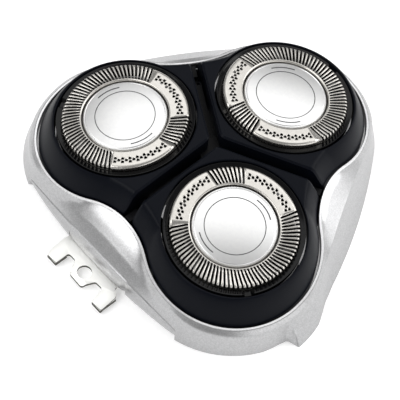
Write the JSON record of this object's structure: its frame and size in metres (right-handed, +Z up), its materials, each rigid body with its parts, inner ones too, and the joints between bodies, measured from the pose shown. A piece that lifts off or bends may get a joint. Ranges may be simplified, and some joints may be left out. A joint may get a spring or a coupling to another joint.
{
  "type": "rotary shaver head",
  "caption": "Shaver head with slotted round guards in floating black petals on a silver lobed housing, with spinning cutters and a fold-out hinge bracket.",
  "frame": {"origin": "on the surface the skirt stands on, under the middle of the length from the front lobe to the bracket's hooks and of the width from the left lobe to the skirt's tab", "axes": "+Z up through the guards, +Y towards the front lobe, -Y towards the hinge bracket"},
  "size_m": [0.068, 0.068, 0.0156],
  "materials": {
    "silver_housing": "fine metallic silver lacquer",
    "black_plastic": "satin moulded black",
    "gloss_black": "polished black",
    "grey_plastic": "moulded grey",
    "guard_steel": "satin stainless steel",
    "cap_metal": "satin metallised plating",
    "blade_steel": "ground steel",
    "bracket_steel": "bright stamped steel"
  },
  "bodies": {
    "head": {"housing": "silver_housing", "pivot_carrier": "black_plastic", "retaining_frame": "grey_plastic", "hinge_pin": "blade_steel"},
    "float_front": {"petal_front": "black_plastic", "seat_ring_front": "gloss_black", "guard_front": "guard_steel", "guard_cap_front": "cap_metal"},
    "float_left": {"petal_left": "black_plastic", "seat_ring_left": "gloss_black", "guard_left": "guard_steel", "guard_cap_left": "cap_metal"},
    "float_right": {"petal_right": "black_plastic", "seat_ring_right": "gloss_black", "guard_right": "guard_steel", "guard_cap_right": "cap_metal"},
    "rotor_front": {"cutter_front": "blade_steel", "cutter_hub_front": "grey_plastic"},
    "rotor_left": {"cutter_left": "blade_steel", "cutter_hub_left": "grey_plastic"},
    "rotor_right": {"cutter_right": "blade_steel", "cutter_hub_right": "grey_plastic"},
    "lock": {"lock_wheel": "black_plastic"},
    "bracket": {"hinge_bracket": "bracket_steel"}
  },
  "joints": [
    {"name": "float_front_tilt", "type": "hinge", "parent": "head", "child": "float_front", "pos_m": [-0.00103, 0.00745, 0.0093], "axis": [1, 0, 0], "range_deg": [-4, 0], "stiffness_Nm_per_rad": 0.1, "springref_deg": 5.73},
    {"name": "float_left_tilt", "type": "hinge", "parent": "head", "child": "float_left", "pos_m": [-0.00861, -0.00568, 0.0093], "axis": [-0.5, 0.866, 0], "range_deg": [-4, 0], "stiffness_Nm_per_rad": 0.1, "springref_deg": 5.73},
    {"name": "float_right_tilt", "type": "hinge", "parent": "head", "child": "float_right", "pos_m": [0.00654, -0.00568, 0.0093], "axis": [-0.5, -0.866, 0], "range_deg": [-4, 0], "stiffness_Nm_per_rad": 0.1, "springref_deg": 5.73},
    {"name": "cutter_front_spin", "type": "hinge", "parent": "float_front", "child": "rotor_front", "pos_m": [-0.00103, 0.0158, 0.014], "axis": [0, 0.1374, 0.9905], "continuous": true},
    {"name": "cutter_left_spin", "type": "hinge", "parent": "float_left", "child": "rotor_left", "pos_m": [-0.01584, -0.00985, 0.014], "axis": [-0.119, -0.0687, 0.9905], "continuous": true},
    {"name": "cutter_right_spin", "type": "hinge", "parent": "float_right", "child": "rotor_right", "pos_m": [0.01378, -0.00985, 0.014], "axis": [0.119, -0.0687, 0.9905], "continuous": true},
    {"name": "lock_turn", "type": "hinge", "parent": "head", "child": "lock", "pos_m": [-0.00103, -0.0013, 0.004], "axis": [0, 0, 1], "range_deg": [0, 90]},
    {"name": "bracket_fold", "type": "hinge", "parent": "head", "child": "bracket", "pos_m": [-0.00103, -0.0231, 0.002], "axis": [1, 0, 0], "range_deg": [0, 90]}
  ]
}
